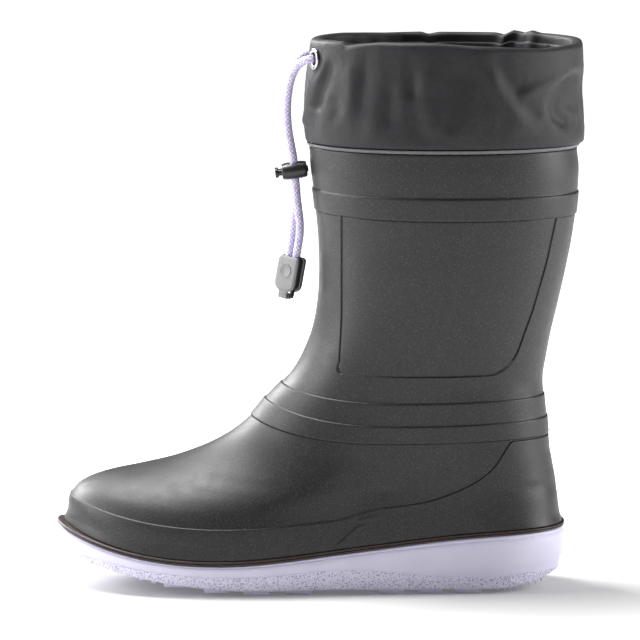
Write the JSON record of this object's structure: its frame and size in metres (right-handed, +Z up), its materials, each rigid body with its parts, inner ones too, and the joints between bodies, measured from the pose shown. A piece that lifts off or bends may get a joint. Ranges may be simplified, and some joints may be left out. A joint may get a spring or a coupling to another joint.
{
  "type": "winter boot",
  "caption": "Left pull-on winter boot: moulded upper on a lugged sole, felt inner sock, and a fabric collar closed by a drawcord with a cord lock and cord end.",
  "frame": {"origin": "on the floor under the middle of the boot's outer box", "axes": "+Z up, toe towards -X, heel towards +X, outer side of the left foot towards -Y"},
  "size_m": [0.2876, 0.1112, 0.2994],
  "materials": {
    "sole_rubber": "satin lavender, finely stippled below",
    "welt_rubber": "satin dark brown",
    "upper_rubber": "satin dark grey with a fine pearl fleck",
    "piping": "woven tape",
    "board": "pressed fibre board",
    "felt": "thick felt",
    "footbed_felt": "felt faced foam",
    "nylon": "coated nylon with a fine weave",
    "nylon_lining": "plain nylon",
    "nickel": "polished nickel",
    "cord": "round braid with purple flecks",
    "lock_plastic": "fine moulded grain",
    "spring_steel": "drawn wire",
    "end_plastic": "fine moulded grain",
    "end_cover_rubber": "matte grey"
  },
  "bodies": {
    "boot": {"outsole": "sole_rubber", "welt_bead": "welt_rubber", "upper_shell": "upper_rubber", "top_piping": "piping", "insole_board": "board", "liner_sock": "felt", "footbed": "footbed_felt", "collar_outer": "nylon", "collar_lining": "nylon_lining", "eyelet_near": "nickel", "eyelet_far": "nickel", "eyelet_washer_near": "nickel", "eyelet_washer_far": "nickel", "drawcord_channel_run": "cord"},
    "drawcord": {"drawcord_near_leg": "cord", "drawcord_far_leg": "cord", "cord_end_base": "end_plastic", "cord_knot_near": "cord", "cord_knot_far": "cord"},
    "cord_lock": {"lock_barrel": "lock_plastic", "lock_spring": "spring_steel"},
    "plunger": {"lock_plunger": "lock_plastic"},
    "cord_end_cover": {"cord_end_cover": "end_cover_rubber"}
  },
  "joints": [
    {"name": "drawcord_swing", "type": "hinge", "parent": "boot", "child": "drawcord", "pos_m": [-0.0036, 0, 0.2895], "axis": [0, 1, 0], "range_deg": [0, 50]},
    {"name": "lock_slide", "type": "slide", "parent": "drawcord", "child": "cord_lock", "axis": [-0.0872, 0, 0.9962], "range_m": [-0.008, 0.005]},
    {"name": "plunger_press", "type": "slide", "parent": "cord_lock", "child": "plunger", "axis": [0.9903, 0, 0.1392], "range_m": [0, 0.0015], "stiffness_N_per_m": 500, "springref_m": -0.002, "deforming": ["lock_spring"]},
    {"name": "cover_open", "type": "hinge", "parent": "drawcord", "child": "cord_end_cover", "pos_m": [-0.01812, 0, 0.15893], "axis": [0.7544, -0.6428, -0.133], "range_deg": [0, 100]}
  ]
}
